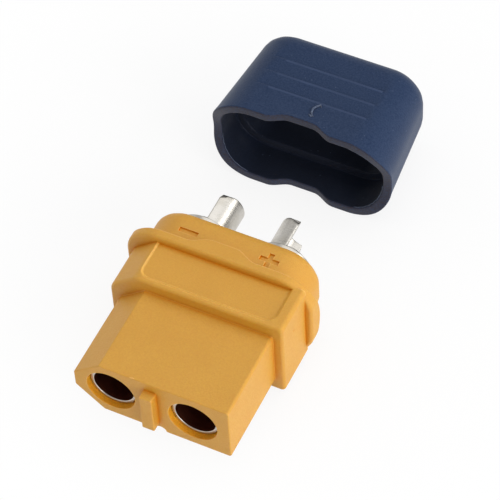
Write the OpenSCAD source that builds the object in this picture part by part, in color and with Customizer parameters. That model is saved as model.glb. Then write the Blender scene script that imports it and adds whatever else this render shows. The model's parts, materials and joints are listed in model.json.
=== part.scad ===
// Two-pole battery power connector, socket half. A keyed housing holds two turned
// contacts, and a slip-on cover closes over their solder cups.
// X runs from the negative to the positive contact, Y from the mating face to the
// cables, Z up. The origin is the centre of the mating face. Sizes in millimetres.

/* [Contacts] */
// Distance between the axes of the two contacts
contact_pitch = 7.2; // [6.8:0.1:7.8]
// Bore that takes the mating pin
socket_bore = 3.5; // [3.2:0.1:3.7]
// Depth of that bore
socket_depth = 8.5; // [6:0.5:10]
// Wall of the socket tube
socket_wall = 0.3; // [0.25:0.05:0.4]
// How far the tube's mouth sits behind the mating face
socket_recess = 0.5; // [0.3:0.1:1]
// Diameter of the collar that locates the contact
collar_d = 5.1; // [4.8:0.1:5.4]
// Length of the collar inside the housing
collar_seat = 2.4; // [1.6:0.2:3]
// How far the collar stands out behind the housing
collar_proud = 0.65; // [0.4:0.05:1.2]

/* [Solder cups] */
// Outside diameter of the cup
cup_d = 3.8; // [3.6:0.1:4.4]
// Inside diameter, where the wire is soldered
cup_bore = 3.1; // [2.6:0.1:3.3]
// Length of the cup behind the collar
cup_length = 3.5; // [2.5:0.1:5]
// Length of the full ring left at the cup's root
cup_root = 0.5; // [0.3:0.1:1]
// Radius of the rounded corners at the cup's open end
cup_corner = 0.7; // [0.3:0.1:1]

/* [Nose] */
// Length of the keyed nose
nose_length = 8.05; // [6:0.25:12]
// Wall beside each socket, left and right
nose_side_wall = 1.12; // [0.9:0.02:1.6]
// Wall above and below each socket
nose_top_wall = 0.83; // [0.7:0.01:1.3]
// Width of the key chamfers on the negative side
key_width = 2.42; // [1.8:0.02:2.6]
// Height of the key chamfers
key_height = 2.13; // [1.6:0.01:2.2]
// Radius of the nose's long edges
nose_edge_radius = 0.25; // [0.1:0.05:0.4]
// Gap around the tube at the mating face
socket_gap = 0.08; // [0.04:0.02:0.15]

/* [Mating face] */
// Width of the centre rib
rib_width = 1.1; // [0.8:0.1:1.6]
// How far the rib stands out of the mating face
rib_height = 0.85; // [0.4:0.05:1.2]
// Distance from the nose's top and bottom to the ends of the rib
rib_end_gap = 0.9; // [0.5:0.1:1.5]
// Width of the groove under the nose
groove_width = 1; // [0.6:0.1:1.4]
// Depth of the groove
groove_depth = 0.55; // [0.3:0.05:0.7]
// How far the groove's middle lies from the rib's, towards the positive side
groove_offset = 0.65; // [0:0.05:1]

/* [Grip block] */
// Length of the block behind the nose
block_length = 4.1; // [3:0.1:6]
// Step from the nose out to the block, left and right
block_step_side = 0.85; // [0.5:0.05:1.4]
// Step from the nose out to the block, top and bottom
block_step_top = 1.15; // [0.7:0.05:1.6]
// Radius of the block's long edges
block_edge_radius = 0.4; // [0.2:0.05:0.7]
// Radius of the long edges of the block's key chamfers
block_key_radius = 1.4; // [0.6:0.1:2.6]
// Depth of the shallow panels, top and bottom
panel_depth = 0.2; // [0.1:0.05:0.4]
// Margin from the block's front to the panel
panel_front = 0.55; // [0.4:0.05:1]
// Margin from the block's plain side to the panel
panel_side = 1.1; // [0.7:0.1:1.6]
// Radius of the panel's two front corners
panel_corner = 0.9; // [0.4:0.1:1.4]

/* [Flange] */
// Thickness of the flange at its thinnest
flange_thickness = 0.8; // [0.7:0.05:1.6]
// Lip of the flange beyond the block, left and right
flange_lip_side = 0.6; // [0.4:0.05:1.6]
// Lip of the flange beyond the block, top and bottom
flange_lip_top = 0.54; // [0.3:0.02:1]
// Corner radius of the flange's outline
flange_corner = 3.1; // [2.4:0.1:4]
// Radius of the flange's front edge
flange_edge_radius = 0.3; // [0.15:0.05:0.5]
// How far the wavy rear edge rises in its middle
wave_rise = 0.75; // [0.4:0.05:1]
// Half width of the wave's flat crest
wave_crest = 1.2; // [0.8:0.1:1.6]
// Run from the crest down to the plain edge
wave_run = 1.6; // [1:0.1:2]

/* [Cover seat] */
// Length of the boss that the cover slips over
boss_length = 3.45; // [2.6:0.05:4]
// Corner radius of the boss's outline
boss_corner = 2.8; // [2:0.1:3.4]
// Radius of the boss's rear edge
boss_edge_radius = 0.8; // [0.4:0.05:1]
// Width of the polarity marks
mark_size = 1.6; // [1.2:0.1:2]
// Length of the plus along Y
plus_length = 1.25; // [1:0.05:1.8]
// Line width of the polarity marks
mark_line = 0.45; // [0.3:0.05:0.5]
// Depth of the polarity marks
mark_depth = 0.15; // [0.1:0.05:0.3]
// Distance from the flange's rear to the middle of the marks
mark_place = 1.35; // [1.1:0.05:1.6]

/* [Cover] */
// Length of the cover, mouth to end
cover_length = 10.5; // [10.2:0.1:15]
// Corner radius of the cover's outline
cover_corner = 3.9; // [3:0.1:4.3]
// Wall of the cover at its mouth
cover_wall = 0.85; // [0.7:0.05:1]
// Clearance between the cover and the boss
cover_fit = 0.1; // [0.05:0.05:0.2]
// Draft of the cover: how far each side has drawn in at the end
cover_draft = 0.9; // [0.3:0.1:1.1]
// Radius of the cover's rounded end
cover_end_radius = 1.5; // [1:0.1:2]
// Ledge inside that stops against the boss
cover_ledge = 0.5; // [0.3:0.1:0.8]
// Thickness of the cover's end
cover_end_wall = 1; // [0.8:0.1:1.4]
// Height of the oval cable opening, which is as wide as two cables side by side
cable_hole = 4.6; // [4.2:0.1:4.8]
// Number of grip steps, top and bottom
grip_steps = 3; // [2:1:4]
// Distance from one grip step to the next
grip_pitch = 1.75; // [1.4:0.05:1.9]
// Width of the grip steps
grip_width = 9.9; // [7:0.1:11]
// Distance from the cover's end to the rearmost grip step
grip_end_gap = 3.6; // [3.2:0.1:4.2]
// How far the cover stands off its seat, as it lies taken off
cover_off = 14.2; // [9:0.1:25]

/* [Hidden] */

// Thickness of the thin slices that a rounded body is lofted through
slice = 0.01;
// Smallest radius of a corner that is drawn in
least_radius = 0.08;
// Angle between the points of an arc
arc_step = 10;
// Angle between the slices of a rounded edge, for the small and for the large ones
small_edge_step = 45;
large_edge_step = 22.5;
// Number of straight pieces in each half of the wave
wave_steps = 12;
// Overrun that takes a cut clear past a face
overrun = 1;
// Gap between the seated cover and both the flange and the boss's end
seat_gap = 0.1;
// Gap around the collar in its counterbore
collar_gap = 0.02;

tube_r = socket_bore/2 + socket_wall;
socket_hole_r = tube_r + socket_gap;
collar_r = collar_d/2;
cup_r = cup_d/2;

nose_w = contact_pitch + 2*socket_hole_r + 2*nose_side_wall;
nose_h = 2*socket_hole_r + 2*nose_top_wall;
block_w = nose_w + 2*block_step_side;
block_h = nose_h + 2*block_step_top;
flange_w = block_w + 2*flange_lip_side;
flange_h = block_h + 2*flange_lip_top;
boss_inset = cover_wall + cover_fit;
boss_w = flange_w - 2*boss_inset;
boss_h = flange_h - 2*boss_inset;

// Places along Y
block_y = nose_length;
flange_y = block_y + block_length;
seat_y = flange_y + flange_thickness;
boss_end_y = seat_y + boss_length;
collar_y = boss_end_y - collar_seat;
cup_y = boss_end_y + collar_proud;
tip_y = cup_y + cup_length;
ledge_y = boss_end_y + seat_gap;
end_y = seat_y + cover_length;

function unit(v) = v/norm(v);

// The points of one corner, rounded to radius r between its neighbours a and b
function corner_arc(a, p, b, r) =
    let (u = unit(a - p),
         v = unit(b - p),
         half = acos(u*v)/2,
         centre = p + unit(u + v)*r/sin(half),
         first = p + u*r/tan(half) - centre,
         sweep = -sign(cross(u, v))*(180 - 2*half),
         steps = max(1, round(abs(sweep)/arc_step)),
         start = atan2(first.y, first.x))
    [for (i = [0:steps]) centre + r*[cos(start + sweep*i/steps), sin(start + sweep*i/steps)]];

// A closed outline with each corner rounded to its own radius
function rounded(points, radii) =
    let (n = len(points))
    [for (i = [0:n - 1]) each corner_arc(points[(i + n - 1)%n], points[i], points[(i + 1)%n], radii[i])];

// A rectangle with its two corners on the negative side cut off at a slant
function keyed_outline(w, h, r, key_r) =
    let (x = w/2,
         z = h/2)
    rounded([[x, -z], [x, z], [key_width - x, z], [-x, z - key_height], [-x, key_height - z], [key_width - x, -z]],
            [r, r, key_r, key_r, key_r, key_r]);

// A rectangle with equal rounded corners, drawn in from all sides by inset
function plain_outline(w, h, r, inset = 0) =
    let (x = w/2 - inset,
         z = h/2 - inset,
         corner = max(r - inset, least_radius))
    rounded([[x, -z], [x, z], [-x, z], [-x, -z]], [corner, corner, corner, corner]);

// How far a rounded edge of radius r has drawn in, and how far it has run along Y, at angle a
function drawn_in(r, a) = r*(1 - cos(a));
function run_along(r, a) = r*(1 - sin(a));

// A prism along Y over an outline in the XZ plane
module along_y(outline, from, to)
    translate([0, to, 0]) rotate([90, 0, 0]) linear_extrude(to - from) polygon(outline);

// A cylinder along Y about one contact's axis
module bore_y(side, r, from, to)
    translate([side*contact_pitch/2, from, 0]) rotate([-90, 0, 0]) cylinder(r = r, h = to - from, $fn = 72);

module nose()
    along_y(keyed_outline(nose_w, nose_h, nose_edge_radius, nose_edge_radius), 0, block_y + block_length/2);

// The rib on the mating face, between the sockets
module rib()
    translate([-rib_width/2, -rib_height, rib_end_gap - nose_h/2])
        cube([rib_width, rib_height + overrun, nose_h - 2*rib_end_gap]);

// The round-bottomed groove under the nose
module groove()
    translate([groove_offset, -overrun, groove_depth - groove_width/2 - nose_h/2])
        rotate([-90, 0, 0]) cylinder(d = groove_width, h = overrun + nose_length, $fn = 32);

// The block that the fingers hold, with a shallow panel in its top and in its bottom
module block() difference() {
    along_y(keyed_outline(block_w, block_h, block_edge_radius, block_key_radius),
            block_y, flange_y + flange_thickness/2);
    panel();
    mirror([0, 0, 1]) panel();
}

// A recess that is open towards the flange
module panel() {
    left = key_width - block_w/2;
    right = block_w/2 - panel_side;
    front = block_y + panel_front;
    translate([0, 0, block_h/2 - panel_depth]) linear_extrude(panel_depth + overrun)
        polygon(concat([[left, seat_y]],
                       corner_arc([left, seat_y], [left, front], [right, front], panel_corner),
                       corner_arc([left, front], [right, front], [right, seat_y], panel_corner),
                       [[right, seat_y]]));
}

// Height of the wave above the plain edge, at a distance from its middle
function wave(d) = abs(d) <= wave_crest ? wave_rise
    : wave_rise*(1 + cos(180*min(1, (abs(d) - wave_crest)/wave_run)))/2;

// The side view of one wave, its crest towards +Y
function wave_outline(gap) =
    let (reach = wave_crest + wave_run)
    concat([[reach, seat_y - overrun]],
           [for (i = [wave_steps:-1:-wave_steps])
               let (x = reach*i/wave_steps) [x, seat_y + gap + wave(x)]],
           [[-reach, seat_y - overrun]]);

// The waves of the edge between flange and cover, one across the top and bottom and one
// across the two ends
module waves(gap = 0) {
    linear_extrude(3*flange_w, center = true) polygon(wave_outline(gap));
    rotate([0, 90, 0]) linear_extrude(3*flange_w, center = true) polygon(wave_outline(gap));
}

// All that lies behind the wavy edge
module behind_edge() difference() {
    translate([-flange_w, seat_y, -flange_w]) cube([2*flange_w, wave_rise + overrun, 2*flange_w]);
    waves();
}

module flange() difference() {
    edge = flange_edge_radius;
    hull() {
        for (a = [0:small_edge_step:90])
            let (y = flange_y + run_along(edge, a))
                along_y(plain_outline(flange_w, flange_h, flange_corner, drawn_in(edge, a)), y, y + slice);
        along_y(plain_outline(flange_w, flange_h, flange_corner), flange_y + edge, seat_y + wave_rise + slice);
    }
    behind_edge();
}

// A body with a rounded rear edge
module boss() hull() {
    edge = boss_edge_radius;
    along_y(plain_outline(boss_w, boss_h, boss_corner), flange_y + edge/2, boss_end_y - edge);
    for (a = [0:large_edge_step:90])
        let (y = boss_end_y - run_along(edge, a))
            along_y(plain_outline(boss_w, boss_h, boss_corner, drawn_in(edge, a)), y - slice, y);
}

// The polarity marks, engraved in the boss over their contacts
module marks()
    for (side = [-1, 1])
        translate([side*contact_pitch/2, seat_y + mark_place, boss_h/2 - mark_depth]) linear_extrude(overrun) {
            square([mark_size, mark_line], center = true);
            if (side == 1) square([mark_line, plus_length], center = true);
        }

module housing() color("goldenrod") difference() {
    union() {
        nose();
        rib();
        block();
        flange();
        boss();
    }
    groove();
    marks();
    for (side = [-1, 1]) {
        bore_y(side, socket_hole_r, -overrun, boss_end_y);
        bore_y(side, collar_r + collar_gap, collar_y, boss_end_y + overrun);
    }
}

// The side view of the cup, its open end rounded at the corners
function cup_outline() =
    concat([[-cup_r, cup_y - slice]],
           corner_arc([-cup_r, cup_y], [-cup_r, tip_y], [cup_r, tip_y], cup_corner),
           corner_arc([-cup_r, tip_y], [cup_r, tip_y], [cup_r, cup_y], cup_corner),
           [[cup_r, cup_y - slice]]);

// One turned contact, on the positive side: a socket tube in front, a collar, and a cup
// cut open on its outer side
module contact() color("silver") difference() {
    union() {
        bore_y(1, tube_r, socket_recess, cup_y);
        bore_y(1, collar_r, collar_y, cup_y);
        intersection() {
            bore_y(1, cup_r, cup_y - slice, tip_y);
            rotate([0, 90, 0]) linear_extrude(contact_pitch + 2*cup_d, center = true) polygon(cup_outline());
        }
    }
    bore_y(1, socket_bore/2, socket_recess - overrun, socket_recess + socket_depth);
    bore_y(1, cup_bore/2, cup_y, tip_y + overrun);
    translate([(contact_pitch + cup_d)/2, cup_y + cup_root + cup_length/2, 0])
        cube([cup_d, cup_length, 2*cup_d], center = true);
}

module contact_pos() contact();

// The same contact, given half a turn about the connector's axis
module contact_neg() rotate([0, 180, 0]) contact();

// How far the cover's sides have drawn in at a place along Y
function draft(y) = cover_draft*(y - seat_y)/cover_length;

// A drafted body that narrows towards its rounded end
module drafted_body(inset, from, to, end_radius) hull() {
    along_y(plain_outline(flange_w, flange_h, cover_corner, inset + draft(from)), from, from + slice);
    for (a = [0:large_edge_step:90])
        let (y = to - run_along(end_radius, a))
            along_y(plain_outline(flange_w, flange_h, cover_corner, inset + draft(y) + drawn_in(end_radius, a)),
                    y - slice, y);
}

// Level treads in the cover's drafted top, each one stepping down from the one in front
module grip_cuts()
    for (i = [0:grip_steps - 1])
        let (y = end_y - grip_end_gap - grip_pitch*i)
            translate([-grip_width/2, y, flange_h/2 - draft(y + grip_pitch)])
                cube([grip_width, grip_pitch, overrun]);

// One opening for both cables
module cable_opening() {
    for (side = [-1, 1]) bore_y(side, cable_hole/2, ledge_y, end_y + overrun);
    translate([-contact_pitch/2, ledge_y, -cable_hole/2])
        cube([contact_pitch, end_y + overrun - ledge_y, cable_hole]);
}

// The cover on its seat
module seated_cover() difference() {
    drafted_body(0, seat_y + seat_gap, end_y, cover_end_radius);
    along_y(plain_outline(boss_w, boss_h, boss_corner, -cover_fit), seat_y - overrun, ledge_y);
    drafted_body(cover_wall + cover_ledge, ledge_y - slice, end_y - cover_end_wall,
                 max(cover_end_radius - cover_end_wall, least_radius));
    waves(seat_gap);
    cable_opening();
    grip_cuts();
    mirror([0, 0, 1]) grip_cuts();
}

module cover() color("midnightblue") translate([0, cover_off, 0]) seated_cover();

housing();
contact_neg();
contact_pos();
cover();
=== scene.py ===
import json
import math

import bmesh
import bpy
from mathutils import Matrix, Vector


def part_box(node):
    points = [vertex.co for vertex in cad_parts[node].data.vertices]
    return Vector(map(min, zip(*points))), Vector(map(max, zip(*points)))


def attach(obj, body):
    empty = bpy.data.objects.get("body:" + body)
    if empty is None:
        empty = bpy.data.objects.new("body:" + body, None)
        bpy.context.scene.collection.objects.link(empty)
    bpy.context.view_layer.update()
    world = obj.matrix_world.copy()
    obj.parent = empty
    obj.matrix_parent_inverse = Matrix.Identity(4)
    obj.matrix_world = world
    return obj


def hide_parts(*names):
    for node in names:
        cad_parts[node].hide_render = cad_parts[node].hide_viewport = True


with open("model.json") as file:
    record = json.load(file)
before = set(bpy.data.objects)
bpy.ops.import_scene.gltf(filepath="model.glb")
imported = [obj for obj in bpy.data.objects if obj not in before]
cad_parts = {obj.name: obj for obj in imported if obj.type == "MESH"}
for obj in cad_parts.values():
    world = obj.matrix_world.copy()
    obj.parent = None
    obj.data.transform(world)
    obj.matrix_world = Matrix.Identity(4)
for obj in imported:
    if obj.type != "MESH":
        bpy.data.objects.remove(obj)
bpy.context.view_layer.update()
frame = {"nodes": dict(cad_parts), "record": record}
scene = bpy.context.scene
scene.view_settings.view_transform = "Standard"
mm = 0.001  # pieces are drawn in millimetres and brought to metres at the end


def boxInMm(node):
    low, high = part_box(node)
    return low / mm, high / mm


# places that the frame gives
mounts = {mount["name"]: mount for mount in frame["record"]["mounts"]}
housingLow, housingHigh = boxInMm("housing")
contactLow, contactHigh = boxInMm("contact_pos")
coverLow, coverHigh = boxInMm("cover")
contactX = mounts["socket_pos"]["pos_m"][0] / mm
socketRadius = mounts["socket_pos"]["dims"]["r_mm"]
socketDepth = mounts["socket_pos"]["dims"]["length_mm"]
cupRadius = mounts["cup_pos"]["dims"]["r_mm"]
print("frame loaded:", len(frame["nodes"]), "nodes")


# camera and outlines

camera = {
    "azimuth": 28.38,
    "elevation": 52.2,
    "roll": -3.58,
    "distance": 208.8,
    "target": (3.05, 12.22, 7.22),
    "lens": 191.6,
}


def makeCamera(settings):
    azimuth, elevation, roll = (math.radians(settings[key]) for key in ("azimuth", "elevation", "roll"))
    back = Vector((math.sin(azimuth) * math.cos(elevation), -math.cos(azimuth) * math.cos(elevation),
                   math.sin(elevation)))
    level = Vector((math.cos(azimuth), math.sin(azimuth), 0))
    right = level * math.cos(roll) + back.cross(level) * math.sin(roll)
    up = back.cross(right)
    data = bpy.data.cameras.new("productCamera")
    data.lens = settings["lens"]
    data.clip_start = 0.01
    piece = bpy.data.objects.new("productCamera", data)
    scene.collection.objects.link(piece)
    place = (Vector(settings["target"]) + back * settings["distance"]) * mm
    turn = Matrix((right, up, back)).transposed().to_4x4()
    piece.matrix_world = Matrix.Translation(place) @ turn
    scene.camera = piece


makeCamera(camera)

outline = {
    "keyWidth": 2.42,     # slanted corners on the negative side
    "keyHeight": 2.13,
    "leastRadius": 0.08,
    "cornerSteps": 24,    # for a quarter turn
    "sidePoints": (12, 52, 0, 12, 0, 52),
    "waveRise": 0.75,
    "topWave": (1.0, 2.1),   # half length of the crest and run down from it, on top and bottom
    "endWave": (0.0, 4.2),   # the same on both ends, where it is one long swell
}
keyAngle = math.degrees(math.atan2(outline["keyHeight"], outline["keyWidth"]))
sideAngles = (0, 90, 90 + keyAngle, 180, 270 - keyAngle, 270, 360)  # which way each side looks


# Every outline has six sides, so that any two can be joined point to point. On a plain one
# the two key sides have no length.
def keyedSection(width, height, radius, keyRadius):
    x, z = width / 2, height / 2
    turn = math.radians(sideAngles[2])
    key = math.cos(turn) * (outline["keyWidth"] - x) + math.sin(turn) * z
    return (x, z, key, x, key, z), (radius, keyRadius, keyRadius, keyRadius, keyRadius, radius)


def plainSection(width, height, radius):
    x, z = width / 2, height / 2
    turn = math.radians(sideAngles[2])
    key = math.cos(turn) * (radius - x) + math.sin(turn) * (z - radius) + radius
    return (x, z, key, x, key, z), (radius,) * 6


# Height of the wavy edge over the plain one
def waveAt(x, z):
    def one(distance, crest, run):
        past = (abs(distance) - crest) / run
        return outline["waveRise"] * (1 + math.cos(math.pi * min(1, max(0, past)))) / 2
    return max(one(x, *outline["topWave"]), one(z, *outline["endWave"]))


def cornerArc(section, side, inset):
    reaches, radii = section
    start, stop = (math.radians(angle) for angle in sideAngles[side:side + 2])
    radius = max(radii[side] - inset, outline["leastRadius"])
    first, second = reaches[side] - inset - radius, reaches[(side + 1) % 6] - inset - radius
    sine = math.sin(stop - start)
    centreX = (first * math.sin(stop) - second * math.sin(start)) / sine
    centreZ = (second * math.cos(start) - first * math.cos(stop)) / sine
    steps = round(outline["cornerSteps"] * (stop - start) / (math.pi / 2))
    turns = [start + (stop - start) * i / steps for i in range(steps + 1)]
    return [(centreX + radius * math.cos(turn), centreZ + radius * math.sin(turn)) for turn in turns]


# One ring of points around Y; wave is the share of the wavy edge that it follows
def ring(section, y, inset=0.0, wave=0.0):
    arcs = [cornerArc(section, side, inset) for side in range(6)]
    points = []
    for side in range(6):
        points += arcs[side]
        (x0, z0), (x1, z1) = arcs[side][-1], arcs[(side + 1) % 6][0]
        count = outline["sidePoints"][(side + 1) % 6]
        for i in range(1, count + 1):
            share = i / (count + 1)
            points.append((x0 + (x1 - x0) * share, z0 + (z1 - z0) * share))
    return [Vector((x, y + wave * waveAt(x, z), z)) for x, z in points]


quarter = [math.radians(90 * i / 5) for i in range(6)]


# Rings of a rounded outer edge (from a face that looks to -Y on to the side) and of the
# other three kinds of edge, as pairs of inset and place along Y
def frontEdge(y, radius):
    return [(radius * (1 - math.sin(a)), y + radius * (1 - math.cos(a))) for a in quarter]


def frontFillet(y, radius):
    return [(-radius * (1 - math.cos(a)), y - radius * (1 - math.sin(a))) for a in quarter]


def rearEdge(y, radius):
    return [(radius * (1 - math.cos(a)), y - radius * (1 - math.sin(a))) for a in quarter]


def rearFillet(y, radius):
    return [(-radius * (1 - math.sin(a)), y + radius * (1 - math.cos(a))) for a in quarter]


# mesh helpers

def pieceFrom(bm, name):
    bmesh.ops.remove_doubles(bm, verts=bm.verts, dist=0.0001)
    bmesh.ops.recalc_face_normals(bm, faces=bm.faces)
    if bm.calc_volume(signed=True) < 0:
        bmesh.ops.reverse_faces(bm, faces=bm.faces)
    mesh = bpy.data.meshes.new(name)
    bm.to_mesh(mesh)
    bm.free()
    piece = bpy.data.objects.new(name, mesh)
    scene.collection.objects.link(piece)
    return piece


def bridge(bm, first, second):
    count = len(first)
    return [bm.faces.new((first[i], first[(i + 1) % count], second[(i + 1) % count], second[i]))
            for i in range(count)]


# A skin over rings of points, closed by a cap at each end or back on to its first ring
def skin(name, rings, looped=False):
    bm = bmesh.new()
    rows = [[bm.verts.new(point) for point in points] for points in rings]
    for first, second in zip(rows, rows[1:]):
        bridge(bm, first, second)
    if looped:
        bridge(bm, rows[-1], rows[0])
    else:
        bm.faces.new(rows[0])
        bm.faces.new(rows[-1])
    return pieceFrom(bm, name)


# A turned solid about a line along Y; profile is a list of (radius, y)
def turned(name, profile, x, steps=96):
    angles = [2 * math.pi * i / steps for i in range(steps)]
    return skin(name, [[Vector((x + r * math.cos(a), y, r * math.sin(a))) for a in angles]
                       for r, y in profile])


def roundedBox(name, low, high, radius):
    bm = bmesh.new()
    size = Vector(high) - Vector(low)
    middle = (Vector(high) + Vector(low)) / 2
    bmesh.ops.create_cube(bm, size=1, matrix=Matrix.Translation(middle) @ Matrix.Diagonal((*size, 1)))
    bmesh.ops.bevel(bm, geom=bm.edges[:], offset=radius, segments=4, profile=0.5, affect="EDGES")
    return pieceFrom(bm, name)


# A thin closed tube along a line of points, for flash and gate marks
def thread(bm, points, radius, sides=8):
    rings = []
    for i, point in enumerate(points):
        ahead = points[min(i + 1, len(points) - 1)] - points[max(i - 1, 0)]
        turn = ahead.to_track_quat("Y", "Z")
        thin = radius * (0.35 if i in (0, len(points) - 1) else 1)
        rings.append([bm.verts.new(point + turn @ Vector((thin * math.cos(a), 0, thin * math.sin(a))))
                      for a in (2 * math.pi * step / sides for step in range(sides))])
    for first, second in zip(rings, rings[1:]):
        bridge(bm, first, second)
    bm.faces.new(rings[0])
    bm.faces.new(rings[-1])


# Adds threads to a finished piece and tells how many faces they take, which come first
def addThreads(piece, threads):
    bm = bmesh.new()
    for points, radius in threads:
        thread(bm, points, radius)
    bmesh.ops.recalc_face_normals(bm, faces=bm.faces)
    count = len(bm.faces)
    bm.from_mesh(piece.data)
    bm.to_mesh(piece.data)
    bm.free()
    return count


def settle(piece):
    bpy.context.view_layer.update()
    old = piece.data
    seen = piece.evaluated_get(bpy.context.evaluated_depsgraph_get())
    mesh = bpy.data.meshes.new_from_object(seen)
    piece.modifiers.clear()
    piece.data = mesh
    bpy.data.meshes.remove(old)


def combine(piece, tool, operation="DIFFERENCE"):
    modifier = piece.modifiers.new("combine", "BOOLEAN")
    modifier.operation = operation
    modifier.solver = "EXACT"
    modifier.object = tool
    settle(piece)
    bpy.data.objects.remove(tool, do_unlink=True)


def smoothShade(piece, angle):
    for face in piece.data.polygons:
        face.use_smooth = True
    piece.data.set_sharp_from_angle(angle=math.radians(angle))
    weighted = piece.modifiers.new("weighted", "WEIGHTED_NORMAL")
    weighted.keep_sharp = True
    settle(piece)


# Brings a finished piece to metres and puts it in its node's place
def seat(piece, node, body):
    piece.data.transform(Matrix.Scale(mm, 4))
    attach(piece, body)
    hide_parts(node)
    print(piece.name, "has", len(piece.data.polygons), "faces")


# housing

housing = {
    "lipSide": 0.6,          # flange beyond the block
    "lipTop": 0.54,
    "stepSide": 0.85,        # block beyond the nose
    "stepTop": 1.15,
    "bossInset": 0.95,       # boss within the flange
    "noseRadius": 0.25,
    "blockRadius": 0.4,
    "blockKeyRadius": 1.4,
    "flangeRadius": 3.1,
    "bossRadius": 3.1,
    "bossLength": 3.45,
    "flangeThickness": 0.8,
    "blockLength": 4.1,
    "noseFrontEdge": 0.12,
    "stepFillet": 0.06,
    "blockFrontEdge": 0.28,
    "flangeFrontEdge": 0.3,
    "flangeRearEdge": 0.09,
    "bossFillet": 0.08,
    "bossRearEdge": 1.05,
}
flangeWidth, flangeHeight = 2 * housingHigh.x, 2 * housingHigh.z
blockWidth, blockHeight = flangeWidth - 2 * housing["lipSide"], flangeHeight - 2 * housing["lipTop"]
noseWidth, noseHeight = blockWidth - 2 * housing["stepSide"], blockHeight - 2 * housing["stepTop"]
bossWidth, bossHeight = (size - 2 * housing["bossInset"] for size in (flangeWidth, flangeHeight))
bossEnd = housingHigh.y
seatY = bossEnd - housing["bossLength"]
flangeFront = seatY - housing["flangeThickness"]
blockFront = flangeFront - housing["blockLength"]
sunk = 0.3  # how far one joined body runs into the next


def noseAndBlock():
    nose = keyedSection(noseWidth, noseHeight, housing["noseRadius"], housing["noseRadius"])
    block = keyedSection(blockWidth, blockHeight, housing["blockRadius"], housing["blockKeyRadius"])
    rings = [ring(nose, y, inset) for inset, y in frontEdge(0, housing["noseFrontEdge"])]
    rings += [ring(nose, y, inset) for inset, y in frontFillet(blockFront, housing["stepFillet"])]
    rings += [ring(block, y, inset) for inset, y in frontEdge(blockFront, housing["blockFrontEdge"])]
    rings.append(ring(block, flangeFront + sunk))
    return skin("housing_shell", rings)


def flangeAndBoss():
    flange = plainSection(flangeWidth, flangeHeight, housing["flangeRadius"])
    boss = plainSection(bossWidth, bossHeight, housing["bossRadius"])
    wavy = seatY + outline["waveRise"] + sunk
    rings = [ring(flange, y, inset) for inset, y in frontEdge(flangeFront, housing["flangeFrontEdge"])]
    rings += [ring(flange, y, inset, 1) for inset, y in rearEdge(seatY, housing["flangeRearEdge"])]
    rings += [ring(boss, y, inset, 1) for inset, y in rearFillet(seatY, housing["bossFillet"])]
    rings.append(ring(boss, wavy))
    rings += [ring(boss, y, inset) for inset, y in rearEdge(bossEnd, housing["bossRearEdge"])]
    return skin("flange_body", rings)


panel = {"depth": 0.2, "front": 0.55, "side": 1.1, "corner": 0.9, "wallRun": 0.34, "steps": 8}


# Tool for one shallow panel, with soft walls; face is 1 for the top and -1 for the bottom
def panelTool(face):
    left, right = outline["keyWidth"] - blockWidth / 2, blockWidth / 2 - panel["side"]
    front, rear = blockFront + panel["front"], flangeFront + sunk / 2
    rings = []
    for i in range(panel["steps"] + 2):
        share = min(1, i / panel["steps"])
        grow = panel["wallRun"] * (share - 0.5)
        z = blockHeight / 2 - panel["depth"] * (1 + math.cos(math.pi * share)) / 2
        z += 1 if i > panel["steps"] else 0
        corner = panel["corner"] + grow
        points = [(left - grow, rear)]
        for turn, x in ((180, left + panel["corner"]), (270, right - panel["corner"])):
            for step in range(13):
                angle = math.radians(turn + 90 * step / 12)
                points.append((x + corner * math.cos(angle),
                               front + panel["corner"] + corner * math.sin(angle)))
        points.append((right + grow, rear))
        rings.append([Vector((x, y, face * z)) for x, y in points])
    return skin("panel_tool", rings)


mating = {
    "ribWidth": 1.1,
    "ribEndGap": 0.9,
    "ribEdge": 0.1,
    "grooveWidth": 1.0,
    "grooveDepth": 0.55,
    "grooveOffset": 0.65,
    "socketGap": 0.08,
    "holeEdge": 0.06,
    "socketWall": 0.3,
    "collarSeat": 2.4,
    "collarGap": 0.02,
    "collarRadius": 2.55,
}


def ribTool():
    half = mating["ribWidth"] / 2
    end = noseHeight / 2 - mating["ribEndGap"]
    return roundedBox("rib_tool", (-half, housingLow.y, -end), (half, sunk + mating["ribEdge"], end),
                      mating["ribEdge"])


def grooveTool():
    radius = mating["grooveWidth"] / 2
    tool = turned("groove_tool", [(radius, -1), (radius, blockFront)], mating["grooveOffset"], 48)
    tool.data.transform(Matrix.Translation((0, 0, mating["grooveDepth"] - radius - noseHeight / 2)))
    return tool


# Tool for the stepped hole that one contact sits in, its mouth softly rounded
def contactHoleTool(side):
    hole = socketRadius + mating["socketWall"] + mating["socketGap"]
    seatStart = bossEnd - mating["collarSeat"]
    counterbore = mating["collarRadius"] + mating["collarGap"]
    mouth = [(hole + inset, y) for inset, y in frontEdge(0, mating["holeEdge"])]
    profile = [(hole + mating["holeEdge"], -1), *mouth, (hole, seatStart),
               (counterbore, seatStart), (counterbore, bossEnd + 1)]
    return turned("hole_tool", profile, side * contactX)


marks = {"size": 1.6, "line": 0.36, "plusLength": 1.3, "depth": 0.15, "place": 1.35, "draft": 0.1}


# Tool for one engraved bar, a little wider at its mouth
def barTool(x, sizeX, sizeY):
    top = bossHeight / 2
    rings = []
    for z, grow in ((top - marks["depth"], 0), (top, marks["draft"] / 2), (top + 1, marks["draft"] / 2)):
        halfX, halfY = sizeX / 2 + grow, sizeY / 2 + grow
        y = seatY + marks["place"]
        rings.append([Vector((x + a * halfX, y + b * halfY, z)) for a, b in ((1, 1), (-1, 1), (-1, -1), (1, -1))])
    return skin("bar_tool", rings)


gateDent = {"y": 10.06, "z": 1.76, "radius": 0.16, "depth": 0.07}


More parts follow.
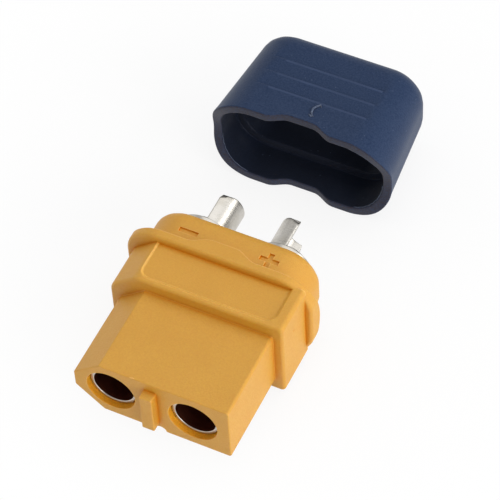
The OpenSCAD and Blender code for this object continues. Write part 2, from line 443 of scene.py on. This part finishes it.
def gateDentTool():
    bm = bmesh.new()
    bmesh.ops.create_uvsphere(bm, u_segments=24, v_segments=12, radius=gateDent["radius"])
    tool = pieceFrom(bm, "dent_tool")
    tool.data.transform(Matrix.Translation((blockWidth / 2 + gateDent["radius"] - gateDent["depth"],
                                            gateDent["y"], gateDent["z"])))
    return tool


flash = {
    "radius": 0.035,
    "points": ((-1.75, 0.05, 2.94), (-1.6, 0.0, 2.99), (-1.45, 0.07, 2.95), (-1.25, 0.03, 2.97)),
}


def makeHousing():
    shell = noseAndBlock()
    for side in (1, -1):
        combine(shell, panelTool(side))
    combine(shell, flangeAndBoss(), "UNION")
    combine(shell, ribTool(), "UNION")
    combine(shell, grooveTool())
    for side in (1, -1):
        combine(shell, contactHoleTool(side))
        combine(shell, barTool(side * contactX, marks["size"], marks["line"]))
    combine(shell, barTool(contactX, marks["line"], marks["plusLength"]))
    combine(shell, gateDentTool())
    addThreads(shell, [([Vector(point) for point in flash["points"]], flash["radius"])])
    smoothShade(shell, 35)
    return shell


# contacts

contact = {
    "columns": 96,
    "rimEdge": 0.07,
    "collarProud": 0.65,
    "collarEdge": 0.08,
    "cupWall": 0.35,
    "cupRoot": 0.5,
    "cupCorner": 0.7,
    "cutEdge": 0.1,
    "wallRows": 10,
}


# Place along Y of the cup's rim, which is rounded off towards both sides
def cupRim(z, tip, outer):
    over = abs(z) - (outer - contact["cupCorner"])
    if over <= 0:
        return tip
    return tip - contact["cupCorner"] + math.sqrt(max(0, contact["cupCorner"] ** 2 - over ** 2))


def makeContact(name, half):
    front, tip = contactLow.y, contactHigh.y
    tube = socketRadius + mating["socketWall"]
    collar = mating["collarRadius"]
    cupY = bossEnd + contact["collarProud"]
    rootY = cupY + contact["cupRoot"]
    outer, inner = cupRadius + contact["cupWall"], cupRadius
    edge, rim = contact["collarEdge"], contact["rimEdge"]
    seatStart = bossEnd - mating["collarSeat"]
    outside = [(socketRadius - edge, front + socketDepth), (socketRadius, front + socketDepth - edge)]
    outside += [(socketRadius + rim * (1 - math.cos(a)), front + rim * (1 - math.sin(a))) for a in quarter]
    outside += [(tube - inset, y) for inset, y in frontEdge(front, rim)]
    outside += [(tube, seatStart), (collar - edge, seatStart), (collar, seatStart + edge)]
    outside += [(collar - inset, y) for inset, y in rearEdge(cupY, edge)]
    outside += [(outer - inset, y) for inset, y in rearFillet(cupY, edge)]
    outside.append((outer, rootY))
    inside = [(inner, rootY), (inner, cupY + edge), (inner - edge, cupY)]
    columns = contact["columns"]
    turns = [2 * math.pi * i / columns for i in range(columns)]
    bm = bmesh.new()

    def spin(radius, y):
        return [bm.verts.new((contactX + radius * math.cos(a), y, radius * math.sin(a))) for a in turns]

    outRows = [spin(*point) for point in outside]
    inRows = [spin(*point) for point in inside]
    for rows in (outRows, inRows):
        for first, second in zip(rows, rows[1:]):
            bridge(bm, first, second)
    bm.faces.new(outRows[0])
    bm.faces.new(inRows[-1])

    # the half of the cup's wall that is left, on the side of the connector's middle
    kept = range(columns // 4, 3 * columns // 4 + 1)
    rows = contact["wallRows"]

    def wall(radius, base):
        grid = {}
        for i in kept:
            z = radius * math.sin(turns[i])
            top = cupRim(z, tip, outer)
            grid[i] = [base[i]]
            for row in range(1, rows + 1):
                y = rootY + (top - rootY) * row / rows
                grid[i].append(bm.verts.new((contactX + radius * math.cos(turns[i]), y, z)))
        return grid

    outWall, inWall = wall(outer, outRows[-1]), wall(inner, inRows[0])
    for i in kept[:-1]:
        for row in range(rows):
            for grid in (outWall, inWall):
                bm.faces.new((grid[i][row], grid[i + 1][row], grid[i + 1][row + 1], grid[i][row + 1]))
        bm.faces.new((outWall[i][-1], outWall[i + 1][-1], inWall[i + 1][-1], inWall[i][-1]))
    for i in (kept[0], kept[-1]):
        for row in range(rows):
            bm.faces.new((outWall[i][row], outWall[i][row + 1], inWall[i][row + 1], inWall[i][row]))
    for i in range(columns):
        if not kept[0] <= i < kept[-1]:
            after = (i + 1) % columns
            bm.faces.new((outRows[-1][i], outRows[-1][after], inRows[0][after], inRows[0][i]))
    piece = pieceFrom(bm, name)
    bevel = piece.modifiers.new("bevel", "BEVEL")
    bevel.width = contact["cutEdge"]
    bevel.segments = 3
    bevel.limit_method = "ANGLE"
    bevel.angle_limit = math.radians(50)
    settle(piece)
    if half < 0:
        piece.data.transform(Matrix.Rotation(math.pi, 4, "Y"))
    smoothShade(piece, 50)
    return piece


# cover

cover = {
    "seatGap": 0.1,
    "draft": 0.9,            # how far each side has drawn in at the end
    "corner": 3.9,
    "wall": 0.85,
    "fit": 0.1,
    "ledge": 0.5,
    "ledgeDepth": 3.45,      # from the mouth to the ledge inside
    "endWall": 1.0,
    "endRadius": 1.5,
    "holeHeight": 4.6,
    "rimEdge": 0.16,
    "softEdge": 0.15,
    "gripSteps": 3,
    "gripPitch": 1.75,
    "gripWidth": 9.9,
    "gripEndGap": 3.6,
    "gripBlend": 0.12,
    "highlightStrip": 0.22,           # width of the painted highlight strip in front of each grip step
    "highlightStripStart": -4.1,
    "highlightStripEnd": 4.8,
    "rowSpacing": 0.25,
    "flashRadius": 0.03,
    # curls of flash on the inner edge of the mouth: start, length in ring points, reach inwards;
    # they stay within the fit, so that the seated cover clears the boss
    "curls": ((0.5, 22, 0.05), (0.855, 22, 0.05), (0.035, 14, 0.04)),
    "scar": ((0.72, 1.55, 0.0), (0.5, 1.9, 0.04), (0.45, 2.35, 0.07), (0.6, 2.7, 0.05), (0.85, 3.0, 0.04),
             (1.0, 2.75, 0.02)),
    "scarFoot": ((0.35, 1.65, 0.02), (0.6, 1.5, 0.03), (0.85, 1.6, 0.02)),
    "scarRadius": 0.09,
}
mouthY, coverEnd = coverLow.y, coverHigh.y
ledgeY = mouthY + cover["ledgeDepth"]


def draftAt(y):
    start = mouthY - cover["seatGap"]
    return cover["draft"] * (y - start) / (coverEnd - start)


gripLines = [coverEnd - cover["gripEndGap"] - cover["gripPitch"] * i for i in range(cover["gripSteps"])]


# Lowers the points that lie over a level tread
def pressTreads(points):
    for point in points:
        for line in gripLines:
            if line < point.y < line + cover["gripPitch"]:
                tread = flangeHeight / 2 - draftAt(line + cover["gripPitch"])
                share = (cover["gripWidth"] / 2 - abs(point.x)) / cover["gripBlend"]
                share = min(1, max(0, share))
                drop = max(0, abs(point.z) - tread) * share
                point.z -= math.copysign(drop, point.z)
    return points


def makeCover():
    outer = plainSection(flangeWidth, flangeHeight, cover["corner"])
    boss = plainSection(bossWidth, bossHeight, housing["bossRadius"])
    hole = plainSection(2 * contactX + cover["holeHeight"], cover["holeHeight"], cover["holeHeight"] / 2)
    rim, soft = cover["rimEdge"], cover["softEdge"]
    innerInset = cover["wall"] + cover["ledge"]
    innerEnd = coverEnd - cover["endWall"]
    rings = [ring(outer, y, draftAt(y) + inset, 1) for inset, y in frontEdge(mouthY, rim)]
    start, stop = mouthY + outline["waveRise"] + sunk, coverEnd - cover["endRadius"]
    count = round((stop - start) / cover["rowSpacing"])
    places = [start + (stop - start) * i / count for i in range(count)]
    places += [line + offset for line in gripLines
               for offset in (-cover["highlightStrip"], -0.01, 0.01, cover["gripPitch"] - cover["highlightStrip"] - 0.02)]
    rings += [pressTreads(ring(outer, y, draftAt(y))) for y in sorted(places)]
    rings += [ring(outer, y, draftAt(y) + inset) for inset, y in rearEdge(coverEnd, cover["endRadius"])]
    rings += [ring(hole, y, inset) for inset, y in reversed(
        [(-radial, along) for radial, along in rearEdge(coverEnd, soft)])]
    rings += [ring(hole, y, inset) for inset, y in reversed(
        [(-radial, along) for radial, along in frontEdge(innerEnd, soft)])]
    rings += [ring(outer, y, draftAt(y) + innerInset + inset)
              for inset, y in reversed(rearEdge(innerEnd, cover["endRadius"] - cover["endWall"]))]
    rings += [ring(outer, y, draftAt(y) + innerInset - inset) for inset, y in reversed(frontEdge(ledgeY, soft))]
    rings += [ring(boss, y, inset - cover["fit"]) for inset, y in reversed(rearEdge(ledgeY, soft))]
    rings += [ring(boss, y, -cover["fit"] - inset, 1) for inset, y in reversed(frontEdge(mouthY, rim))]
    shell = skin("cover_shell", rings, looped=True)
    inner = ring(boss, mouthY + rim / 2, -cover["fit"], 1)
    threads = []
    for start, length, reach in cover["curls"]:
        first = round(start * len(inner))
        points = []
        for i in range(length + 1):
            point = inner[(first + i) % len(inner)]
            pull = reach * (0.6 + 0.4 * math.sin(2.3 * i))
            points.append(point - Vector((point.x, 0, point.z)).normalized() * pull)
        threads.append((points, cover["flashRadius"]))
    for part in ("scar", "scarFoot"):
        points = [Vector((x, mouthY + y, flangeHeight / 2 - draftAt(mouthY + y) + z)) for x, y, z in cover[part]]
        threads.append((points, cover["scarRadius"]))
    flashFaces = addThreads(shell, threads)
    smoothShade(shell, 35)
    return shell, flashFaces


# materials

def node(tree, kind, **values):
    made = tree.nodes.new(kind)
    for key, value in values.items():
        if key in ("operation", "data_type", "blend_type", "feature", "noise_dimensions", "samples",
                   "only_local", "mode", "label"):
            setattr(made, key, value)
        else:
            made.inputs[key.replace("_", " ")].default_value = value
    return made


def newGroup(name, inputs, outputs):
    tree = bpy.data.node_groups.new(name, "ShaderNodeTree")
    for label, value in inputs.items():
        socket = tree.interface.new_socket(name=label, in_out="INPUT", socket_type="NodeSocketFloat")
        socket.default_value = value
    for label in outputs:
        tree.interface.new_socket(name=label, in_out="OUTPUT", socket_type="NodeSocketFloat")
    return tree, tree.nodes.new("NodeGroupInput"), tree.nodes.new("NodeGroupOutput")


# Object coordinates in millimetres, divided by a size
def coordinatesBySize(tree, sizeSocket):
    place = tree.nodes.new("ShaderNodeTexCoord")
    scale = node(tree, "ShaderNodeMath", operation="DIVIDE")
    scale.inputs[0].default_value = 1 / mm
    tree.links.new(sizeSocket, scale.inputs[1])
    scaled = node(tree, "ShaderNodeVectorMath", operation="SCALE")
    tree.links.new(place.outputs["Object"], scaled.inputs[0])
    tree.links.new(scale.outputs[0], scaled.inputs["Scale"])
    return scaled.outputs[0]


# Fine grain of an eroded mould, and a slow mottle of the resin's tone
def mouldGrainGroup():
    tree, source, result = newGroup("mouldGrain", {"Grain Size": 0.1, "Mottle Size": 2.5},
                                    ("Grain", "Mottle"))
    grain = node(tree, "ShaderNodeTexNoise", Scale=1.0, Detail=3.0, Roughness=0.6)
    mottle = node(tree, "ShaderNodeTexNoise", Scale=1.0, Detail=2.0, Roughness=0.5)
    tree.links.new(coordinatesBySize(tree, source.outputs["Grain Size"]), grain.inputs["Vector"])
    tree.links.new(coordinatesBySize(tree, source.outputs["Mottle Size"]), mottle.inputs["Vector"])
    tree.links.new(grain.outputs["Fac"], result.inputs["Grain"])
    tree.links.new(mottle.outputs["Fac"], result.inputs["Mottle"])
    return tree


# Masks for painted highlights on edges and painted shade in creases, both from how the surface folds
def edgeLightAndCreaseShadeGroup():
    tree, source, result = newGroup("edgeLightAndCreaseShade", {"Edge Reach": 0.15, "Crease Reach": 0.4},
                                    ("Edge", "Crease"))
    for label in ("Edge", "Crease"):
        reach = node(tree, "ShaderNodeMath", operation="MULTIPLY")
        reach.inputs[1].default_value = mm
        tree.links.new(source.outputs[label + " Reach"], reach.inputs[0])
        sense = node(tree, "ShaderNodeAmbientOcclusion", samples=8)
        sense.inside = label == "Edge"
        sense.only_local = True
        tree.links.new(reach.outputs[0], sense.inputs["Distance"])
        flip = node(tree, "ShaderNodeMath", operation="SUBTRACT")
        flip.inputs[0].default_value = 1.0
        tree.links.new(sense.outputs["AO"], flip.inputs[1])
        tree.links.new(flip.outputs[0], result.inputs[label])
    return tree


# Sparse light specks, such as dust and rubbed grains
def specksGroup():
    tree, source, result = newGroup("specks", {"Spacing": 0.6, "Size": 0.1}, ("Speck",))
    cells = node(tree, "ShaderNodeTexVoronoi", Scale=1.0, Randomness=1.0)
    tree.links.new(coordinatesBySize(tree, source.outputs["Spacing"]), cells.inputs["Vector"])
    below = node(tree, "ShaderNodeMath", operation="LESS_THAN")
    tree.links.new(cells.outputs["Distance"], below.inputs[0])
    tree.links.new(source.outputs["Size"], below.inputs[1])
    chance = node(tree, "ShaderNodeSeparateColor")
    tree.links.new(cells.outputs["Color"], chance.inputs[0])
    rare = node(tree, "ShaderNodeMath", operation="GREATER_THAN")
    rare.inputs[1].default_value = 0.75
    tree.links.new(chance.outputs[0], rare.inputs[0])
    both = node(tree, "ShaderNodeMath", operation="MULTIPLY")
    tree.links.new(below.outputs[0], both.inputs[0])
    tree.links.new(rare.outputs[0], both.inputs[1])
    tree.links.new(both.outputs[0], result.inputs["Speck"])
    return tree


# Fine lines around a turned piece, and a cloudy tarnish
def turnedLinesGroup():
    tree, source, result = newGroup("turnedLines", {"Line Pitch": 0.06, "Cloud Size": 1.2},
                                    ("Line", "Cloud"))
    place = coordinatesBySize(tree, source.outputs["Line Pitch"])
    squash = node(tree, "ShaderNodeVectorMath", operation="MULTIPLY")
    squash.inputs[1].default_value = (0.03, 1.0, 0.03)
    tree.links.new(place, squash.inputs[0])
    lines = node(tree, "ShaderNodeTexNoise", Scale=1.0, Detail=2.0, Roughness=0.6)
    tree.links.new(squash.outputs[0], lines.inputs["Vector"])
    cloud = node(tree, "ShaderNodeTexNoise", Scale=1.0, Detail=3.0, Roughness=0.55)
    tree.links.new(coordinatesBySize(tree, source.outputs["Cloud Size"]), cloud.inputs["Vector"])
    tree.links.new(lines.outputs["Fac"], result.inputs["Line"])
    tree.links.new(cloud.outputs["Fac"], result.inputs["Cloud"])
    return tree


groups = {"grain": mouldGrainGroup(), "litEdgesShadedCreases": edgeLightAndCreaseShadeGroup(), "specks": specksGroup(),
          "lines": turnedLinesGroup()}


def useGroup(tree, key, **values):
    made = tree.nodes.new("ShaderNodeGroup")
    made.node_tree = groups[key]
    for label, value in values.items():
        made.inputs[label.replace("_", " ")].default_value = value
    return made


def mixColor(tree, factor, first, second, blend="MIX"):
    made = tree.nodes.new("ShaderNodeMix")
    made.data_type = "RGBA"
    made.blend_type = blend
    for socket, value in ((made.inputs[0], factor), (made.inputs[6], first), (made.inputs[7], second)):
        if isinstance(value, bpy.types.NodeSocket):
            tree.links.new(value, socket)
        elif isinstance(value, tuple):
            socket.default_value = (*value, 1)
        else:
            socket.default_value = value
    return made.outputs[2]


def spread(tree, value, low, high, fromLow=0.0, fromHigh=1.0):
    made = tree.nodes.new("ShaderNodeMapRange")
    tree.links.new(value, made.inputs["Value"])
    made.inputs["From Min"].default_value = fromLow
    made.inputs["From Max"].default_value = fromHigh
    made.inputs["To Min"].default_value = low
    made.inputs["To Max"].default_value = high
    return made.outputs[0]


def newMaterial(name):
    material = bpy.data.materials.new(name)
    material.use_nodes = True
    tree = material.node_tree
    return material, tree, tree.nodes["Principled BSDF"]


def bump(tree, shader, height, strength, distance):
    made = tree.nodes.new("ShaderNodeBump")
    made.inputs["Strength"].default_value = strength
    made.inputs["Distance"].default_value = distance * mm
    tree.links.new(height, made.inputs["Height"])
    tree.links.new(made.outputs[0], shader.inputs["Normal"])


# Moulded nylon: a base colour with mottle, grain, painted highlights on edges, painted shade in creases (where the
# gloss is also turned down) and specks
def nylon(name, look):
    material, tree, shader = newMaterial(name)
    grain = useGroup(tree, "grain", Grain_Size=look["grainSize"], Mottle_Size=look["mottleSize"])
    litEdgesShadedCreases = useGroup(tree, "litEdgesShadedCreases", Edge_Reach=look["edgeReach"], Crease_Reach=look["creaseReach"])
    color = mixColor(tree, spread(tree, grain.outputs["Mottle"], 0, 1, 0.3, 0.7), look["base"], look["mottled"])
    color = mixColor(tree, spread(tree, grain.outputs["Grain"], 0, look["grainTone"], 0.35, 0.65), color,
                     look["grainColor"])
    # painted shade: creases are darkened towards the crease colour
    color = mixColor(tree, spread(tree, litEdgesShadedCreases.outputs["Crease"], 0, look["creaseTone"], *look["creaseSpan"]), color,
                     look["crease"])
    # painted highlight: edges are lightened towards the edge colour
    color = mixColor(tree, spread(tree, litEdgesShadedCreases.outputs["Edge"], 0, look["edgeTone"], *look["edgeSpan"]), color,
                     look["edge"])
    if look.get("speckTone"):
        specks = useGroup(tree, "specks", Spacing=look["speckSpacing"], Size=look["speckSize"])
        color = mixColor(tree, spread(tree, specks.outputs["Speck"], 0, look["speckTone"]), color,
                         look["speckColor"])
    tree.links.new(color, shader.inputs["Base Color"])
    rough = spread(tree, grain.outputs["Grain"], look["roughness"] - 0.06, look["roughness"] + 0.06, 0.3, 0.7)
    tree.links.new(rough, shader.inputs["Roughness"])
    # the gloss is turned down where creases get painted shade
    tree.links.new(spread(tree, litEdgesShadedCreases.outputs["Crease"], look["gloss"], 0, *look["creaseSpan"]),
                   shader.inputs["Specular IOR Level"])
    shader.inputs["Sheen Weight"].default_value = look["sheen"]
    shader.inputs["Sheen Roughness"].default_value = 0.5
    shader.inputs["Subsurface Weight"].default_value = look["subsurface"]
    shader.inputs["Subsurface Radius"].default_value = look["subsurfaceRadius"]
    shader.inputs["Subsurface Scale"].default_value = mm
    bump(tree, shader, grain.outputs["Grain"], look["bump"], look["grainSize"] / 4)
    return material


housingLook = {
    "base": (0.65, 0.33, 0.03),
    "mottled": (0.625, 0.31, 0.026),
    "grainSize": 0.15,
    "grainTone": 0.45,
    "grainColor": (0.56, 0.25, 0.028),
    "mottleSize": 3.0,
    "edgeReach": 0.16,
    # painted highlight on edges
    "edge": (0.92, 0.56, 0.16),
    "edgeTone": 0.8,
    "edgeSpan": (0.15, 0.55),
    "creaseReach": 0.65,
    # painted shade in creases
    "crease": (0.62, 0.185, 0.001),
    "creaseTone": 0.9,
    "creaseSpan": (0.16, 0.6),
    "roughness": 0.5,
    "gloss": 0.55,
    "sheen": 0.0,
    "bump": 0.8,
    "subsurface": 0.15,
    "subsurfaceRadius": (0.5, 0.22, 0.05),
}
coverLook = {
    "base": (0.005, 0.02, 0.064),
    "mottled": (0.008, 0.024, 0.069),
    "grainSize": 0.14,
    "grainTone": 0.6,
    "grainColor": (0.03, 0.052, 0.11),
    "mottleSize": 2.5,
    "edgeReach": 0.12,
    # painted highlight on edges
    "edge": (0.075, 0.09, 0.135),
    "edgeTone": 0.6,
    "edgeSpan": (0.15, 0.5),
    "creaseReach": 0.4,
    # painted shade in creases
    "crease": (0.01, 0.016, 0.036),
    "creaseTone": 0.6,
    "creaseSpan": (0.1, 0.6),
    "roughness": 0.5,
    "gloss": 0.14,
    "sheen": 0.1,
    "bump": 0.5,
    "subsurface": 0.0,
    "subsurfaceRadius": (0.2, 0.2, 0.2),
    "speckTone": 0.35,
    "speckSpacing": 0.55,
    "speckSize": 0.09,
    "speckColor": (0.12, 0.16, 0.24),
}


# Plated metal with turning lines and a faint tarnish
def plated(name, look):
    material, tree, shader = newMaterial(name)
    lines = useGroup(tree, "lines", Line_Pitch=look["linePitch"], Cloud_Size=look["cloudSize"])
    color = mixColor(tree, spread(tree, lines.outputs["Cloud"], 0, 1, 0.35, 0.7), look["base"], look["tarnish"])
    tree.links.new(color, shader.inputs["Base Color"])
    rough = spread(tree, lines.outputs["Line"], look["roughness"] - 0.05, look["roughness"] + 0.08, 0.3, 0.7)
    tree.links.new(rough, shader.inputs["Roughness"])
    shader.inputs["Metallic"].default_value = 1.0
    bump(tree, shader, lines.outputs["Line"], look["bump"], 0.006)
    return material


contactLook = {
    "base": (0.64, 0.615, 0.57),
    "tarnish": (0.55, 0.52, 0.46),
    "linePitch": 0.07,
    "cloudSize": 1.4,
    "roughness": 0.29,
    "bump": 0.05,
}
# painted shade: the socket bore gets a dark, warm brown copy of the plating
boreLook = {**contactLook, "base": (0.3, 0.1, 0.06), "tarnish": (0.22, 0.07, 0.04), "roughness": 0.4}


def paint(piece, *materials):
    piece.data.materials.clear()
    for material in materials:
        piece.data.materials.append(material)


# Gives another material to the faces that a test picks, by centre, normal and number
def paintWhere(piece, index, test):
    for polygon in piece.data.polygons:
        if test(polygon.center / mm, polygon.normal, polygon.index):
            polygon.material_index = index


housingShell = makeHousing()
seat(housingShell, "housing", "housing")
# painted light: a brighter, deeper orange copy of the nylon for the hole walls round each socket
holeLitLook = {**housingLook, "base": (0.92, 0.4, 0.02), "mottled": (0.88, 0.37, 0.018), "crease": (0.85, 0.32, 0.004),
            "gloss": 0.1}
# painted highlight: a lighter copy of the nylon for the flange's rear edge
flangeEdgeHighlightLook = {**housingLook, "base": (0.95, 0.6, 0.19), "mottled": (0.9, 0.55, 0.16), "creaseTone": 0.2}
# painted highlight: a lighter copy of the nylon for two walls of each panel
panelWallHighlightLook = {**housingLook, "base": (0.78, 0.44, 0.08), "mottled": (0.74, 0.41, 0.07), "edgeTone": 0.4,
              "creaseTone": 0.2}
paint(housingShell, nylon("housingNylon", housingLook), nylon("housingHoleLitNylon", holeLitLook),
      nylon("housingFlangeEdgeHighlightNylon", flangeEdgeHighlightLook), nylon("housingPanelWallHighlightNylon", panelWallHighlightLook))
# painted light on the hole walls round each socket
paintWhere(housingShell, 1, lambda centre, normal, number: 0.03 < centre.y < flangeFront
           and abs(math.hypot(abs(centre.x) - contactX, centre.z) - socketRadius - mating["socketWall"]) < 0.12)
# painted highlights: light lines along the flange's rear edge, and on two sides of each panel
paintWhere(housingShell, 2, lambda centre, normal, number:
           normal.y > 0.2 and centre.y < seatY + outline["waveRise"] + 0.05
           and (abs(centre.z) > flangeHeight / 2 - 0.2 or abs(centre.x) > flangeWidth / 2 - 0.2))
# painted highlight on the panel walls that face +X and +Y
paintWhere(housingShell, 3, lambda centre, normal, number:
           blockHeight / 2 - panel["depth"] < abs(centre.z) < blockHeight / 2 and blockFront < centre.y
           < flangeFront and max(normal.x, normal.y) > 0.15 and abs(centre.x) < blockWidth / 2 - 0.5)

platedMetal, boreMetal = plated("platedContact", contactLook), plated("socketBore", boreLook)
for name, nodeName, half in (("contact_turned_neg", "contact_neg", -1), ("contact_turned_pos", "contact_pos", 1)):
    turnedContact = makeContact(name, half)
    seat(turnedContact, nodeName, "housing")
    paint(turnedContact, platedMetal, boreMetal)
    # painted shade on the faces of the socket bore
    paintWhere(turnedContact, 1, lambda centre, normal, number:
               contactLow.y + contact["rimEdge"] + 0.05 < centre.y < contactLow.y + socketDepth + 0.1
               and math.hypot(abs(centre.x) - contactX, centre.z) < socketRadius + 0.02)

coverShell, flashFaces = makeCover()
seat(coverShell, "cover", "cover")
rimLook = {**coverLook, "base": (0.026, 0.021, 0.031), "mottled": (0.031, 0.026, 0.036), "speckTone": 0}
# painted highlight: a lighter copy of the cover nylon for the strip in front of each grip step
gripHighlightLook = {**coverLook, "base": (0.03, 0.052, 0.118), "mottled": (0.022, 0.04, 0.094), "edgeTone": 0.15}
flashLook = {**coverLook, "base": (0.16, 0.2, 0.29), "mottled": (0.05, 0.07, 0.12), "mottleSize": 0.3,
             "speckTone": 0}
# painted shade: a darker copy of the cover nylon for its inside, with its own painted edge highlight
insideLook = {**coverLook, "base": (0.006, 0.009, 0.02), "mottled": (0.008, 0.012, 0.026),
              "grainColor": (0.01, 0.016, 0.034), "edge": (0.035, 0.045, 0.07), "roughness": 0.42}
paint(coverShell, nylon("coverNylon", coverLook), nylon("coverInsideNylon", insideLook),
      nylon("coverRimNylon", rimLook), nylon("coverGripHighlightNylon", gripHighlightLook), nylon("coverFlashNylon", flashLook))
# painted shade on the faces that look inwards or to -Y
paintWhere(coverShell, 1, lambda centre, normal, number:
           normal.x * centre.x + normal.z * centre.z < -0.1 or normal.y < -0.6)
paintWhere(coverShell, 2, lambda centre, normal, number: centre.y < mouthY + 1.2 and normal.y < -0.6)
# painted highlight on the strip in front of each grip step
paintWhere(coverShell, 3, lambda centre, normal, number:
           cover["highlightStripStart"] < centre.x < cover["highlightStripEnd"] and abs(normal.z) > 0.9 and abs(centre.z) > 3
           and any(-cover["highlightStrip"] < centre.y - line < 0 for line in gripLines))
paintWhere(coverShell, 4, lambda centre, normal, number: number < flashFaces)


# floor and light

studio = {
    "floorSize": 4.0,
    "floorWhite": 0.9,
    "floorGap": 0.02,        # keeps the floor clear of the flange that rests on it
    "shadowShare": 0.16,     # share of the lit floor that the camera sees beside plain white
    "shadowReach": (16, 36),  # it fades out between these distances from the middle
    "ambient": 0.45,
    "mirrorLeft": 0.6,      # what shiny surfaces see of the surroundings on the left and right
    "mirrorRight": 0.3,
    "mirrorSpan": (-0.75, -0.25),
    "lights": {
        # place and size in millimetres, strength as the share of full white on a facing surface
        "overheadSoftbox": {"place": (30, 120, 330), "size": 400, "level": 0.47},
        "rightSoftbox": {"place": (340, -70, 90), "size": 280, "level": 0.82},
        "rearStrip": {"place": (230, 190, 150), "size": 120, "level": 0.12},
        "leftFill": {"place": (-330, 60, 170), "size": 300, "level": 0.12},
        "frontFill": {"place": (-120, -330, 120), "size": 240, "level": 0.05},
    },
}


# One where a ray comes from the camera or through something clear
def seenRays(tree):
    path = tree.nodes.new("ShaderNodeLightPath")
    larger = node(tree, "ShaderNodeMath", operation="MAXIMUM")
    tree.links.new(path.outputs["Is Camera Ray"], larger.inputs[0])
    tree.links.new(path.outputs["Is Transmission Ray"], larger.inputs[1])
    return larger.outputs[0], path.outputs["Is Glossy Ray"]


def makeFloor():
    half = studio["floorSize"] / 2
    z = (min(housingLow.z, coverLow.z) - studio["floorGap"]) * mm
    mesh = bpy.data.meshes.new("studioFloor")
    mesh.from_pydata([(-half, -half, z), (half, -half, z), (half, half, z), (-half, half, z)], [], [(0, 1, 2, 3)])
    floor = bpy.data.objects.new("studioFloor", mesh)
    scene.collection.objects.link(floor)
    material, tree, shader = newMaterial("paleFloor")
    tree.nodes.remove(shader)
    matte = tree.nodes.new("ShaderNodeBsdfDiffuse")
    matte.inputs["Color"].default_value = (studio["floorWhite"],) * 3 + (1,)
    white = tree.nodes.new("ShaderNodeEmission")
    white.inputs["Strength"].default_value = 1.0
    # plain white far from the middle, and the lit floor's share of it near the pieces
    place = tree.nodes.new("ShaderNodeTexCoord")
    away = node(tree, "ShaderNodeVectorMath", operation="DISTANCE")
    away.inputs[1].default_value = (housingHigh + coverHigh) / 2 * mm * Vector((0, 1, 0))
    tree.links.new(place.outputs["Object"], away.inputs[0])
    near, far = (reach * mm for reach in studio["shadowReach"])
    glow = spread(tree, away.outputs["Value"], 1 - studio["shadowShare"], 1, near, far)
    seen, mirrored = seenRays(tree)
    shown = node(tree, "ShaderNodeMath", operation="MAXIMUM")
    tree.links.new(seen, shown.inputs[0])
    tree.links.new(mirrored, shown.inputs[1])
    share = node(tree, "ShaderNodeMath", operation="MULTIPLY")
    tree.links.new(shown.outputs[0], share.inputs[0])
    tree.links.new(glow, share.inputs[1])
    mix = tree.nodes.new("ShaderNodeMixShader")
    tree.links.new(share.outputs[0], mix.inputs[0])
    tree.links.new(matte.outputs[0], mix.inputs[1])
    tree.links.new(white.outputs[0], mix.inputs[2])
    tree.links.new(mix.outputs[0], tree.nodes["Material Output"].inputs["Surface"])
    paint(floor, material)


def makeWorld():
    world = bpy.data.worlds.new("studioWorld")
    world.use_nodes = True
    tree = world.node_tree
    background = tree.nodes["Background"]
    background.inputs["Color"].default_value = (1, 1, 1, 1)
    seen, mirrored = seenRays(tree)
    direction = tree.nodes.new("ShaderNodeTexCoord")
    split = tree.nodes.new("ShaderNodeSeparateXYZ")
    tree.links.new(direction.outputs["Generated"], split.inputs[0])
    side = spread(tree, split.outputs["X"], studio["mirrorLeft"], studio["mirrorRight"], *studio["mirrorSpan"])
    level = tree.nodes.new("ShaderNodeMix")
    level.inputs[2].default_value = studio["ambient"]
    tree.links.new(mirrored, level.inputs[0])
    tree.links.new(side, level.inputs[3])
    shown = node(tree, "ShaderNodeMath", operation="MAXIMUM")
    tree.links.new(level.outputs[0], shown.inputs[0])
    tree.links.new(seen, shown.inputs[1])
    tree.links.new(shown.outputs[0], background.inputs["Strength"])
    scene.world = world


def makeLights():
    middle = Vector((0, 18, 0))
    for name, settings in studio["lights"].items():
        data = bpy.data.lights.new(name, "AREA")
        data.size = settings["size"] * mm
        away = Vector(settings["place"]) - middle
        data.energy = settings["level"] * (math.pi * away.length * mm) ** 2
        piece = bpy.data.objects.new(name, data)
        scene.collection.objects.link(piece)
        turn = away.to_track_quat("Z", "Y").to_matrix().to_4x4()
        piece.matrix_world = Matrix.Translation(Vector(settings["place"]) * mm) @ turn


makeFloor()
makeWorld()
makeLights()
print("floor, world and", len(studio["lights"]), "lights made")
